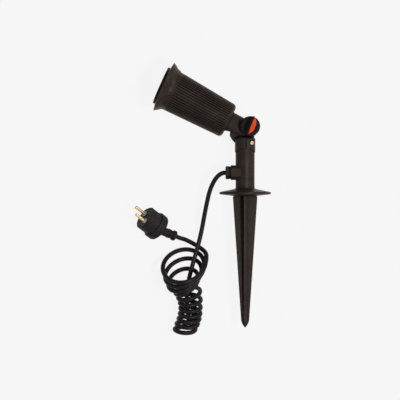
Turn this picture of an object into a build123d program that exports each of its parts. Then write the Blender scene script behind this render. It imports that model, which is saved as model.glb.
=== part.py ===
"""Garden spike spotlight, lying on its side as photographed.

Row frame: X to the photograph's right, Y towards the head, Z up from the table that the lamp lies on.
The origin is the centre of the lamp's footprint. Units are millimetres.
"""
from build123d import *
from math import acos, atan2, ceil, cos, degrees, hypot, pi, radians, sin, sqrt, tan
import os

os.makedirs("parts", exist_ok=True)

# ---------------------------------------------------------------- driving dimensions
# Ground end
flange_radius = 38.7        # also sets how high the lamp's own plane lies over the table
flange_rim = 3.6            # thickness of the flange at its rim
flange_rim_y = 3.29          # height of the rim's middle along the post
flange_up = 7.68             # rise of the upper cone from rim middle to post
flange_down = 4.82           # drop of the lower cone from rim middle to spike
spike_length = 197.0
spike_blade = 4.4           # blade thickness
spike_top_width = 36.8
spike_end_width = 12.6      # width where the rounded point starts
spike_point = 15.0          # length of the rounded point
spigot_length = 26.0        # of the spike's round spigot inside the post
spigot_wall = 2.6
spigot_floor = 3.0
fit_gap = 0.05              # radial clearance of parts that are pushed together
turn_gap = 0.10             # radial clearance of parts that turn on each other

# Post
post_x = 49.87
post_radius = 14.3
post_wall = 2.6
post_length = 71.0
gland_rise = 23.0           # gland axis above the post's lower end
gland_boss_reach = 21.5     # boss face, measured from the post axis
gland_boss_half = 11.0      # half height of the boss along the post
gland_boss_front = 13.0     # its front and back faces, from the lamp's plane
gland_boss_flat = 6.0       # half width of those faces
gland_boss_side = 7.6       # half width of its upper and lower faces
post_neck_radius = 12.9     # inside the collar
post_neck_length = 9.6

# Cable gland and cord
cord_d = 6.8
gland_body_radius = 9.3     # of the gland body's flange
gland_body_length = 2.2
gland_nut_radius = 9.8      # over the corners of the hexagon
gland_nut_length = 5.7
gland_thread_radius = 7.0
gland_bore_radius = 4.2

# Collar and knuckle
collar_wall = 0.9           # at the skirt, around the post
collar_cap = 5.3            # top of the collar over the post's upper end
collar_skirt = 23.2         # length of the collar from its top to its lower edge
collar_arch = 6.0           # height of the arched cut in the skirt
collar_round = 3.6
pivot_side = 7.2            # the pivot lies this far to the right of the post's axis
pivot_rise = 21.2           # and this far over the post's upper end
knuckle_radius = 14.9
knuckle_half = 12.5         # half thickness of the knuckle across the split
split_gap = 1.2             # friction washer between the two halves
lobe_radius = 33.0          # curved shoulder of the fixed half, centred on the pivot
lobe_inner_radius = 30.0    # of the stretch that passes behind the housing's rear face
lobe_start = 142.0          # degrees round the pivot
lobe_inner_end = 190.0
lobe_rise_end = 204.0       # full radius from here on
lobe_end = 229.0
bolt_radius = 3.0
bolt_head = 4.0
bolt_hex_radius = 5.6
groove_x = 1.3              # of the groove down the collar, from the post axis
groove_width = 2.4
groove_depth = 1.2

# Knob
knob_height = 9.0
ridge_height = 7.0
ridge_length = 29.0
ridge_half_width = 8.0
ridge_crest = 1.1           # half width of the crest
ridge_shift = 1.5           # the ridge sits this far off centre along its length
ridge_lean = 22.0           # degrees from the post's direction, towards the photograph's right
inlay_floor = 0.6           # lower edge of the coloured flank over the knob's face
insert_radius = 5.6
insert_length = 8.0

# Set screw
set_screw_drop = 3.6        # below the post's upper end
set_screw_turn = 37.0       # degrees round the post from the camera side towards the right
set_screw_head = 3.0        # head radius
set_screw_shank = 2.0
set_screw_head_height = 1.8

# Head
head_elevation = 28.2       # degrees above the table's left-pointing direction, in the lamp's plane
axis_drop = 8.1             # the head's axis passes this far below the pivot
rear_x = 30.9               # rear face of the housing, along the head's axis from the pivot
head_length = 111.2         # rear face to the plane of the flare's rim
front_cant = 4.2            # degrees that the front end is off square, as seen
rear_cant = 1.0
body_rear_radius = 26.4
body_front_radius = 31.0
rib_count = 48
rib_depth = 1.1
rib_width = 1.9
flare_radius = 38.7
flare_length = 14.4
flare_rim = 0.9
wall = 2.4
bore_radius = 25.7          # free bore for the lamp
rear_wall = 4.0
rear_corner = 7.0

# Lens ring and lens
ring_proud = 5.4            # lip in front of the rim plane
ring_lip_radius = 29.3
ring_lip = 3.3              # length of the lip
ring_thread_radius = 27.6
ring_opening = 24.6
lens_thick = 4.0
gasket_thick = 2.0
lens_radius = 27.0
lens_seat = 3.0             # front of the lens behind the rim plane
flare_face = 1.8            # flat front of the flare, in front of the rim plane
ring_notches = 6
ring_notch_radius = 1.3

# Neck
neck_radius = 15.3
elbow_gasket = 1.0
duct_radius = 4.0

# Inside the neck
duct_end = 12.0             # the lead duct stops this far from the foot of the pivot
elbow_screw_radius = 2.0
elbow_screw_side = 9.0
elbow_screw_grip = 12.0

# Lamp
lamp_radius = 24.9
lamp_depth = 38.0
lamp_neck_radius = 9.0
lamp_front_gap = 4.6        # behind the lens, so that the canted lens clears the lamp
lamp_shell = 1.4
lamp_foot = 7.0
pin_spacing = 10.0
holder_radius = 13.0
holder_length = 16.0
holder_screw_side = 9.0
bracket_width = 30.0
bracket_depth = 16.0
bracket_sheet = 1.5
lead_radius = 1.1
cavity_taper_end = 96.0

# Plug
plug_radius = 19.4
plug_side_radius = 18.4     # between the two lands of the plug's body
plug_land = 8.0             # width of the lands, in line with the pins
plug_length = 18.5
plug_collar_radius = 20.8
plug_collar_length = 13.0
plug_collar_round = 4.5     # at the back
plug_collar_edge = 1.0      # at the front
plug_pitch = 25.2           # degrees that the pins rise from the table
plug_heading = 142.0        # direction of the pins in the table's plane, degrees from +X
plug_turn = 64.5            # degrees that the pair of pins is turned round the plug's axis
plug_face_x = -100.73
plug_face_y = -33.21
pin_radius = 2.4
pin_length = 19.0
pin_pitch = 19.0
pin_depth = 12.0            # inside the body
pin_stem_radius = 1.9       # of the moulded-in stem, up to the sleeve's face
sleeve_radius = 4.4
sleeve_height = 1.6
clip_groove_width = 7.0     # grooves for the socket's side clips
clip_groove_depth = 1.0
boot_x = -55.53              # centre of the boot's ring, where the cord enters
boot_y = -61.61
boot_z = 7.9
boot_heading = 157.2        # direction from the boot's ring back to the collar
boot_pitch = 25.0
boot_ring_radius = 7.8
boot_ring_length = 5.0
boot_small_radius = 4.8
boot_big_radius = 7.4
boot_ribs = 3

# Cord route: millimetres along X, Y and over the table
exit_run = 8.7
lead_points = (
    (-1.93, 13.39, 33.0),
    (-9.23, -19.01, 24.0),
    (-17.13, -64.01, 17.4),
    (-31.23, -112.01, 17.4),
    (-37.23, -139.01, 18.0),
    (-38.13, -164.51, 18.5),
)
tail_points = (
    (-18.33, -78.41, 6.4),
    (-38.73, -67.11, 3.45),
)
coil_in_run = 14.0          # straight runs where the cord joins the coil
coil_out_run = 14.0
boot_run = 10.0

# Coil, counted in turns: whole numbers lie on the camera side
coil_start = -0.48
coil_end = 10.25
coil_steps = 44             # biarcs along the coil
stack_radius = 15.6
stack_grow = 2.9
stack_lean = 19.5           # degrees that a turn leans back from upright
stack_y = -201.71            # middle of turn 0
stack_pitch = 7.8
stack_x = -32.13             # middle of the stack where it bows out most, at turn 4
stack_bow = 0.54
loop_turn = 8.0             # first wide loop
loop_radius = 29.7
loop_grow = 5.0
loop_lean = 42.0
loop_lean_grow = 1.4
loop_x = -41.73
loop_y = -122.51
loop_pitch = 10.05
loosen_start = 6.5          # the stack opens into the loops between these turns
loosen_end = 7.7
grow_start = 4.0            # the stack widens between these turns
grow_end = 7.2
spread_turn = 2.5           # from this turn on the stack's turns lie further and further apart
stack_spread = 0.375
entry_turn = -0.25          # before this turn the cord comes in from inside the stack
entry_pull = 150.0
entry_lift_turn = -0.3
entry_lift = 900.0
bow_turn = 4.0
stack_fan_turn = 3.0        # degrees that the turns fan out, seen from the camera
stack_fan_grow = 1.75
stack_fan_start = 8.0
loop_fan_start = 20.0
loop_fan_drop = 15.0
fan_drop_start = 7.0
fan_drop_end = 10.6
loop_squash = 0.1           # the loops are this share narrower than they are high
loop_squash_grow = 0.015
rest_gap = 0.05             # between the lowest turn and the table

# ---------------------------------------------------------------- derived places
lamp_z = flange_radius
post_end_y = flange_rim_y + flange_up
post_top_y = post_end_y + post_length
post_step_y = post_top_y - post_neck_length
gland_y = post_end_y + gland_rise
collar_radius = post_radius + turn_gap + collar_wall
collar_top_y = post_top_y + collar_cap
collar_low_y = collar_top_y - collar_skirt
set_screw_y = post_top_y - set_screw_drop
pivot_x = post_x + pivot_side
pivot_y = post_top_y + pivot_rise
pivot = Vector(pivot_x, pivot_y, lamp_z)
ahead = Vector(-cos(radians(head_elevation)), sin(radians(head_elevation)), 0)
below = Vector(-sin(radians(head_elevation)), -cos(radians(head_elevation)), 0)
up = Vector(0, 0, 1)
along_y = Vector(0, 1, 0)
washer_top = knuckle_half + 1.0


def head_point(x, y=0.0, z=0.0):
    """A point given along the head's axis, below it in the lamp's plane, and towards the camera."""
    return pivot + below * (axis_drop + y) + ahead * x + up * z


def head_plane(x=0.0):
    """Plane square to the head's axis: its normal points to the front."""
    return Plane(origin=head_point(x), x_dir=below, z_dir=ahead)


def canted_way(cant):
    """The head's axis, turned by the cant of one of its ends."""
    return (ahead * cos(radians(cant)) + below * sin(radians(cant))).normalized()


front_way = canted_way(front_cant)
rear_way = canted_way(rear_cant)


def canted_plane(x, way, ahead_by=0.0):
    """Plane square to a canted way, at x on the head's axis, moved along its normal."""
    return Plane(origin=head_point(x) + way * ahead_by, x_dir=up.cross(way), z_dir=way)


rim_x = rear_x + head_length
head_axis = Axis(head_point(0), ahead)
front_axis = Axis(head_point(rim_x), front_way)
rear_axis = Axis(head_point(rear_x), rear_way)
# Plan view of the head in its own plane: local x runs ahead and local y below the axis.
head_plan = Plane(origin=head_point(0), x_dir=ahead, z_dir=up)
front_plan = Plane(origin=head_point(rim_x), x_dir=front_way, z_dir=up)
rear_plan = Plane(origin=head_point(rear_x), x_dir=rear_way, z_dir=up)
post_axis = Axis((post_x, 0, lamp_z), (0, 1, 0))
lamp_plan = Plane.XY.offset(lamp_z)


def post_plane(y):
    """Plane square to the post's axis, with its normal towards the head."""
    return Plane(origin=(post_x, y, lamp_z), x_dir=(1, 0, 0), z_dir=(0, 1, 0))


def gland_plane(reach):
    """Plane square to the gland's axis, reach from the post axis, with its normal away from the post."""
    return Plane(origin=(post_x - reach, gland_y, lamp_z), x_dir=(0, 1, 0), z_dir=(-1, 0, 0))


def knuckle_plane(z):
    """Plane square to the pivot axis, z above the lamp's plane."""
    return Plane(origin=pivot + up * z, x_dir=(1, 0, 0), z_dir=(0, 0, 1))


def save(part, name):
    part.label = name
    export_step(part, "parts/" + name + ".step")


# ---------------------------------------------------------------- spike and flange
spike_top_y = flange_rim_y - flange_down
spigot_radius = post_radius - post_wall - fit_gap
spike_taper_end = spike_top_y - spike_length + spike_point
tip_shoulder = spike_taper_end - spike_point * 0.66


def blade_outline():
    """Tapered blade with a rounded point; x is measured from the post axis."""
    top = spike_top_width / 2
    end = spike_end_width / 2
    tip = spike_top_y - spike_length
    Polyline((-end, spike_taper_end), (-top, spike_top_y), (top, spike_top_y), (end, spike_taper_end))
    ThreePointArc((end, spike_taper_end), (end * 0.62, tip_shoulder), (0, tip))
    ThreePointArc((0, tip), (-end * 0.62, tip_shoulder), (-end, spike_taper_end))


with BuildPart() as spike:
    for blade_side in (Vector(1, 0, 0), Vector(0, 0, 1)):
        blade_plan = Plane(origin=(post_x, 0, lamp_z), x_dir=blade_side, z_dir=blade_side.cross(along_y))
        with BuildSketch(blade_plan):
            with BuildLine():
                blade_outline()
            make_face()
        extrude(amount=spike_blade / 2, both=True)
    with BuildSketch(lamp_plan):
        with BuildLine():
            spike_tip = spike_top_y - spike_length
            tip_corner = post_x + spike_end_width / 2 + 0.4
            tip_bulge = (post_x + spike_end_width * 0.31 + 0.25, tip_shoulder)
            ThreePointArc((post_x, spike_tip), tip_bulge, (tip_corner, spike_taper_end))
            Polyline(
                (tip_corner, spike_taper_end),
                (post_x + spike_top_width, spike_taper_end),
                (post_x + spike_top_width, spike_top_y),
                (post_x, spike_top_y),
                (post_x, spike_tip),
            )
        make_face()
    revolve(axis=post_axis, mode=Mode.INTERSECT)
    with BuildSketch(post_plane(spike_top_y)):
        Circle(spigot_radius)
    extrude(amount=spigot_length)
    with BuildSketch(post_plane(spike_top_y + spigot_length)):
        Circle(spigot_radius - spigot_wall)
    extrude(amount=-(spigot_length - spigot_floor), mode=Mode.SUBTRACT)
save(spike.part, "spike")

with BuildPart() as flange:
    with BuildSketch(lamp_plan):
        with BuildLine():
            Polyline(
                (post_x + spigot_radius + fit_gap, spike_top_y),
                (post_x + post_radius + 2.0, spike_top_y),
                (post_x + post_radius + 4.0, spike_top_y + 0.6),
                (post_x + flange_radius - 1.0, flange_rim_y - flange_rim / 2),
                (post_x + flange_radius, flange_rim_y - flange_rim / 2 + 0.8),
                (post_x + flange_radius, flange_rim_y + flange_rim / 2 - 0.8),
                (post_x + flange_radius - 1.0, flange_rim_y + flange_rim / 2),
                (post_x + post_radius + 2.2, post_end_y - 1.4),
                (post_x + post_radius, post_end_y),
                (post_x + spigot_radius + fit_gap, post_end_y),
                close=True,
            )
        make_face()
    revolve(axis=post_axis)
save(flange.part, "ground_flange")

# ---------------------------------------------------------------- post
post_bore = post_radius - post_wall


def boss_outline():
    """Eight-sided section of the gland's boss: along the post, then towards the camera."""
    corners = ((gland_boss_flat, gland_boss_front), (gland_boss_half, gland_boss_side))
    right = [*corners, *((along, -out) for along, out in reversed(corners))]
    return right + [(-along, -out) for along, out in right]


with BuildPart() as post:
    with BuildSketch(post_plane(post_end_y)):
        Circle(post_radius)
    extrude(amount=post_length)
    with BuildSketch(gland_plane(0)):
        with BuildLine():
            Polyline(*boss_outline(), close=True)
        make_face()
    extrude(amount=gland_boss_reach)
    with BuildSketch(post_plane(post_end_y)):
        Circle(post_bore)
    extrude(amount=post_length, mode=Mode.SUBTRACT)
    with BuildSketch(gland_plane(0)):
        Circle(gland_thread_radius + fit_gap)
    extrude(amount=gland_boss_reach, mode=Mode.SUBTRACT)
    with BuildSketch(post_plane(post_step_y)):
        Circle(post_radius + 1)
        Circle(post_neck_radius, mode=Mode.SUBTRACT)
    extrude(amount=post_top_y - post_step_y, mode=Mode.SUBTRACT)
save(post.part, "post")

# ---------------------------------------------------------------- cable gland
nut_start = gland_boss_reach + gland_body_length
with BuildPart() as gland_body:
    with BuildSketch(gland_plane(gland_boss_reach)):
        Circle(gland_body_radius)
    extrude(amount=gland_body_length)
    with BuildSketch(gland_plane(post_bore)):
        Circle(gland_thread_radius)
    extrude(amount=gland_boss_reach - post_bore + 1)
    with BuildSketch(gland_plane(nut_start - 1)):
        Circle(gland_thread_radius)
    extrude(amount=4.4)
    with BuildSketch(gland_plane(0)):
        Circle(gland_bore_radius)
    extrude(amount=40, mode=Mode.SUBTRACT)
    with BuildSketch(gland_plane(nut_start)):
        Circle(gland_thread_radius - 1.4)
    extrude(amount=6, mode=Mode.SUBTRACT)
save(gland_body.part, "gland_body")

with BuildPart() as gland_seal:
    with BuildSketch(gland_plane(nut_start)):
        Circle(gland_thread_radius - 1.4 - fit_gap)
        Circle(cord_d / 2 + fit_gap, mode=Mode.SUBTRACT)
    extrude(amount=3.4)
save(gland_seal.part, "gland_seal")

with BuildPart() as gland_nut:
    with BuildSketch(gland_plane(nut_start + 0.1)):
        RegularPolygon(gland_nut_radius, 6)
    extrude(amount=gland_nut_length)
    chamfer(gland_nut.edges().group_by(Axis.X)[0], 1.2)
    with BuildSketch(gland_plane(nut_start)):
        Circle(gland_thread_radius + turn_gap)
    extrude(amount=3.6, mode=Mode.SUBTRACT)
    with BuildSketch(gland_plane(nut_start)):
        Circle(cord_d / 2 + 0.3)
    extrude(amount=20, mode=Mode.SUBTRACT)
save(gland_nut.part, "gland_nut")

# ---------------------------------------------------------------- inside the post
cable_end_reach = 7.0
terminal_low_y = gland_y + 15.0
terminal_length = 17.0
terminal_width = 10.0
terminal_depth = 8.0
core_radius = 1.1
core_spread = 2.5
core_bend = 5.0
nut_face = nut_start + 0.1 + gland_nut_length

with BuildPart() as cable_end:
    with BuildSketch(gland_plane(cable_end_reach)):
        Circle(cord_d / 2)
    extrude(amount=nut_face - cable_end_reach)
save(cable_end.part, "cable_end")

with BuildPart() as terminal_block:
    with BuildSketch(post_plane(terminal_low_y)):
        Rectangle(terminal_width, terminal_depth)
    extrude(amount=terminal_length)
    chamfer(terminal_block.edges().filter_by(Axis.Y), 1.0)
    terminal_screw_plane = Plane(origin=(post_x, 0, lamp_z + terminal_depth / 2), z_dir=(0, 0, 1))
    with BuildSketch(terminal_screw_plane):
        for side in (-1, 1):
            for row in (0.25, 0.75):
                with Locations((side * core_spread, terminal_low_y + row * terminal_length)):
                    Circle(1.3)
    extrude(amount=-1.5, mode=Mode.SUBTRACT)
save(terminal_block.part, "terminal_block")

with BuildPart() as post_leads:
    for side in (-1, 1):
        lead_z = lamp_z + side * core_spread * 0.6
        lead_x = post_x + side * core_spread
        with BuildLine():
            FilletPolyline(
                (post_x - cable_end_reach, gland_y, lead_z),
                (lead_x, gland_y, lead_z),
                (lead_x, terminal_low_y, lead_z),
                radius=core_bend - 1.0,
            )
        with BuildSketch(Plane(origin=(post_x - cable_end_reach, gland_y, lead_z), z_dir=(1, 0, 0))):
            Circle(core_radius)
        sweep()
        with BuildSketch(post_plane(terminal_low_y + terminal_length)):
            with Locations((side * core_spread, 0)):
                Circle(core_radius)
        extrude(amount=post_top_y - 1.0 - terminal_low_y - terminal_length)
save(post_leads.part, "post_leads")

# ---------------------------------------------------------------- collar with the fixed half of the knuckle
collar_bore = post_radius + turn_gap
collar_neck_bore = post_neck_radius + turn_gap
collar_step_y = post_step_y + 0.3
collar_ceiling_y = post_top_y + 0.3
screw_out = Vector(sin(radians(set_screw_turn)), 0, cos(radians(set_screw_turn)))
arch_radius = (collar_radius ** 2 + collar_arch ** 2) / (2 * collar_arch)


def screw_plane(reach):
    """Plane square to the set screw, reach from the post axis."""
    return Plane(origin=Vector(post_x, set_screw_y, lamp_z) + screw_out * reach, x_dir=along_y, z_dir=screw_out)


def round_pivot(angle, radius):
    return (radius * cos(radians(angle)), radius * sin(radians(angle)))


with BuildPart() as collar:
    with BuildSketch(post_plane(collar_low_y)):
        Circle(collar_radius)
    extrude(amount=collar_skirt)
    fillet(collar.edges().group_by(Axis.Y)[-1], collar_round)
    with BuildSketch(knuckle_plane(-knuckle_half)):
        Circle(knuckle_radius)
        with BuildLine():
            lobe_corner = round_pivot(lobe_start, lobe_inner_radius)
            lobe_step = round_pivot(lobe_inner_end, lobe_inner_radius)
            lobe_shoulder = round_pivot(lobe_rise_end, lobe_radius)
            lobe_foot = round_pivot(lobe_end, lobe_radius)
            Line((0, 0), lobe_corner)
            ThreePointArc(lobe_corner, round_pivot((lobe_start + lobe_inner_end) / 2, lobe_inner_radius), lobe_step)
            Line(lobe_step, lobe_shoulder)
            ThreePointArc(lobe_shoulder, round_pivot((lobe_rise_end + lobe_end) / 2, lobe_radius), lobe_foot)
            Line(lobe_foot, (0, 0))
        make_face()
        with BuildLine():
            web_left = post_x - collar_radius + 1.0 - pivot_x
            web_low = collar_top_y - collar_round - 1.0 - pivot_y
            Polyline((0, 0), (web_left, 0), (web_left, web_low), (4.6, web_low), (knuckle_radius * 0.8, 0), (0, 0))
        make_face()
    extrude(amount=knuckle_half - split_gap / 2)
    with BuildSketch(post_plane(collar_low_y)):
        Circle(collar_bore)
    extrude(amount=collar_step_y - collar_low_y, mode=Mode.SUBTRACT)
    with BuildSketch(post_plane(collar_low_y)):
        Circle(collar_neck_bore)
    extrude(amount=collar_ceiling_y - collar_low_y, mode=Mode.SUBTRACT)
    with BuildSketch(lamp_plan):
        with Locations((post_x, collar_low_y + collar_arch - arch_radius)):
            Circle(arch_radius)
    extrude(amount=collar_radius + 1, both=True, mode=Mode.SUBTRACT)
    with BuildSketch(knuckle_plane(-knuckle_half)):
        Circle(bolt_radius + fit_gap)
    extrude(amount=knuckle_half, mode=Mode.SUBTRACT)
    with BuildSketch(knuckle_plane(-knuckle_half)):
        RegularPolygon(bolt_hex_radius + fit_gap, 6)
    extrude(amount=bolt_head, mode=Mode.SUBTRACT)
    with BuildSketch(screw_plane(0)):
        Circle(set_screw_shank + turn_gap)
    extrude(amount=collar_radius + 2, mode=Mode.SUBTRACT)
    with BuildSketch(Plane(origin=(post_x, 0, lamp_z + collar_radius - groove_depth), z_dir=(0, 0, 1))):
        with Locations((groove_x, (collar_low_y + collar_top_y) / 2)):
            Rectangle(groove_width, collar_skirt - 6.0)
    extrude(amount=groove_depth + 1, mode=Mode.SUBTRACT)
save(collar.part, "collar")

with BuildPart() as set_screw:
    with BuildSketch(screw_plane(post_neck_radius + fit_gap)):
        Circle(set_screw_shank)
    extrude(amount=collar_radius - post_neck_radius + 0.5)
    with BuildSketch(screw_plane(collar_radius + 0.15)):
        Circle(set_screw_head)
    extrude(amount=set_screw_head_height)
    fillet(set_screw.edges().filter_by(GeomType.CIRCLE).sort_by(Axis((0, 0, 0), screw_out))[-1], 0.5)
    with BuildSketch(screw_plane(collar_radius + 0.15 + set_screw_head_height)):
        Rectangle(set_screw_head * 2.2, 0.9)
    extrude(amount=-0.9, mode=Mode.SUBTRACT)
save(set_screw.part, "set_screw")

# ---------------------------------------------------------------- pivot bolt, washers and knob
knob_base = washer_top + 0.1
knob_face = knob_base + knob_height

with BuildPart() as pivot_bolt:
    with BuildSketch(knuckle_plane(-knuckle_half)):
        RegularPolygon(bolt_hex_radius, 6)
    extrude(amount=bolt_head)
    with BuildSketch(knuckle_plane(-knuckle_half)):
        Circle(bolt_radius)
    extrude(amount=knuckle_half + knob_base + insert_length - 1.0)
save(pivot_bolt.part, "pivot_bolt")

with BuildPart() as friction_washer:
    with BuildSketch(knuckle_plane(-split_gap / 2)):
        Circle(knuckle_radius - 1.3)
        Circle(bolt_radius + 0.2, mode=Mode.SUBTRACT)
    extrude(amount=split_gap)
save(friction_washer.part, "friction_washer")

with BuildPart() as knob_washer:
    with BuildSketch(knuckle_plane(knuckle_half)):
        Circle(bolt_radius * 2.4)
        Circle(bolt_radius + 0.2, mode=Mode.SUBTRACT)
    extrude(amount=washer_top - knuckle_half)
save(knob_washer.part, "knob_washer")

with BuildPart() as knob_insert:
    with BuildSketch(knuckle_plane(knob_base)):
        RegularPolygon(insert_radius, 6)
        Circle(bolt_radius + turn_gap, mode=Mode.SUBTRACT)
    extrude(amount=insert_length)
save(knob_insert.part, "knob_insert")

ridge_side = Vector(cos(radians(ridge_lean)), -sin(radians(ridge_lean)), 0)
ridge_along = Vector(sin(radians(ridge_lean)), cos(radians(ridge_lean)), 0)
ridge_origin = pivot + up * knob_face + ridge_along * ridge_shift
ridge_plan = Plane(origin=ridge_origin, x_dir=ridge_side, z_dir=up)
ridge_across = Plane(origin=ridge_origin - ridge_along * ridge_length, x_dir=ridge_side, z_dir=-ridge_along)
ridge_profile = Plane(origin=ridge_origin, x_dir=ridge_along, z_dir=ridge_side)


def flank(drop):
    """Cross-section of the ridge, with both flanks lowered by drop."""
    edge = ridge_half_width
    crest = ridge_crest
    return [(-edge, -drop), (-crest, ridge_height - drop), (crest, ridge_height - drop), (edge, -drop)]


with BuildPart() as ridge:
    with BuildSketch(ridge_plan):
        with BuildLine():
            ThreePointArc((0, -ridge_length / 2), (ridge_half_width, 0), (0, ridge_length / 2))
            ThreePointArc((0, ridge_length / 2), (-ridge_half_width, 0), (0, -ridge_length / 2))
        make_face()
    extrude(amount=ridge_height)
    with BuildSketch(ridge_profile):
        with BuildLine():
            low = ridge_height * 0.3
            end = ridge_length / 2
            ThreePointArc((-end, low), (0, ridge_height), (end, low))
            Polyline((end, low), (end, -1.0), (-end, -1.0), (-end, low))
        make_face()
    extrude(amount=ridge_half_width, both=True, mode=Mode.INTERSECT)
    with BuildSketch(ridge_across):
        with BuildLine():
            Polyline(*flank(0), close=True)
        make_face()
    extrude(amount=-ridge_length * 2, mode=Mode.INTERSECT)

with BuildPart() as knob_inlay:
    add(ridge.part)
    with BuildSketch(ridge_across):
        with BuildLine():
            over = ridge_height + 1
            beside = ridge_half_width + 1
            Polyline((ridge_crest, over), (ridge_crest, inlay_floor), (beside, inlay_floor), (beside, over), close=True)
        make_face()
    extrude(amount=-ridge_length * 2, mode=Mode.INTERSECT)
save(knob_inlay.part, "knob_inlay")

with BuildPart() as knob:
    with BuildSketch(knuckle_plane(knob_base)):
        Circle(knuckle_radius)
    extrude(amount=knob_height)
    fillet(knob.edges().group_by(Axis.Z)[-1], 1.6)
    fillet(knob.edges().group_by(Axis.Z)[0], 0.8)
    add(ridge.part)
    add(knob_inlay.part, mode=Mode.SUBTRACT)
    with BuildSketch(knuckle_plane(knob_base)):
        RegularPolygon(insert_radius, 6)
    extrude(amount=insert_length, mode=Mode.SUBTRACT)
save(knob.part, "knob")

# ---------------------------------------------------------------- elbow: neck and turning half of the knuckle
neck_back = 4.0             # the neck's round runs this close to the foot of the pivot


def near_pivot(point):
    """A point's place in the pivot plane, seen from the camera."""
    return (point.X - pivot_x, point.Y - pivot_y)


def tangent_foot(x, y, radius):
    """Where the lower tangent from (x, y) touches a circle round the pivot."""
    reach = hypot(x, y)
    angle = atan2(y, x) + acos(radius / reach)
    return (radius * cos(angle), radius * sin(angle))


low_corner = near_pivot(head_point(rear_x + 1.0, neck_radius))
top_corner = near_pivot(head_point(rear_x + 4.0, -neck_radius))
top_back = near_pivot(head_point(neck_back, -neck_radius))
low_touch = tangent_foot(*low_corner, knuckle_radius)
duct_z = 6.4

with BuildPart() as neck_form:
    with BuildSketch(head_plane(0)):
        Circle(neck_radius)
    extrude(amount=rear_x + 6.0)
    with BuildSketch(knuckle_plane(0)):
        Circle(knuckle_radius)
    extrude(amount=knuckle_half)

with BuildPart() as elbow:
    with BuildSketch(knuckle_plane(split_gap / 2)):
        Circle(knuckle_radius)
        with BuildLine():
            Polyline(top_corner, top_back, (0, 0), low_touch, low_corner, top_corner)
        make_face()
    extrude(amount=knuckle_half - split_gap / 2)
    add(neck_form.part, mode=Mode.INTERSECT)
    with BuildSketch(canted_plane(rear_x, rear_way, -elbow_gasket)):
        Circle(neck_radius * 2)
    extrude(amount=neck_radius, mode=Mode.SUBTRACT)
    with BuildSketch(knuckle_plane(0)):
        Circle(bolt_radius + turn_gap / 2)
    extrude(amount=knuckle_half + 1, mode=Mode.SUBTRACT)
    with BuildSketch(head_plane(duct_end)):
        with Locations((0, duct_z)):
            Circle(duct_radius)
    extrude(amount=rear_x, mode=Mode.SUBTRACT)
    with BuildSketch(head_plane(rear_x - elbow_screw_grip)):
        with Locations((-elbow_screw_side, duct_z), (elbow_screw_side, duct_z)):
            Circle(elbow_screw_radius)
    extrude(amount=rear_x, mode=Mode.SUBTRACT)
save(elbow.part, "elbow")

with BuildPart() as elbow_gasket_piece:
    with BuildSketch(canted_plane(rear_x, rear_way, -elbow_gasket)):
        Circle(neck_radius + 0.4)
        with Locations((0, -neck_radius + split_gap / 2)):
            Rectangle(neck_radius * 3, neck_radius * 2, mode=Mode.SUBTRACT)
    extrude(amount=elbow_gasket)
    with BuildSketch(head_plane(rear_x - 6)):
        with Locations((0, duct_z)):
            Circle(duct_radius)
        with Locations((-elbow_screw_side, duct_z), (elbow_screw_side, duct_z)):
            Circle(elbow_screw_radius + 0.2)
    extrude(amount=12, mode=Mode.SUBTRACT)
save(elbow_gasket_piece.part, "elbow_gasket")

# ---------------------------------------------------------------- housing
flare_root_x = rim_x - flare_length
rib_end_x = flare_root_x - 4.0
inner_rear_x = rear_x + rear_wall
seat_depth = gasket_thick + lens_thick + lens_seat


def body_radius(x):
    """Radius over the ribs at x along the head's axis."""
    share = (x - rear_x) / (flare_root_x - rear_x)
    return body_rear_radius + (body_front_radius - body_rear_radius) * share


def rib_outline(radius):
    """Closed outline of the ribbed wall: a tip, a slope, a groove and a slope for each rib."""
    points = []
    pitch = 2 * pi / rib_count
    tip_half = rib_width / 2 / radius
    groove_half = pitch / 2 - tip_half * 1.45
    for rib in range(rib_count):
        middle = rib * pitch
        for angle, reach in (
            (middle - tip_half, radius),
            (middle + tip_half, radius),
            (middle + pitch / 2 - groove_half, radius - rib_depth),
            (middle + pitch / 2 + groove_half, radius - rib_depth),
        ):
            points.append((reach * cos(angle), reach * sin(angle)))
    return points


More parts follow.
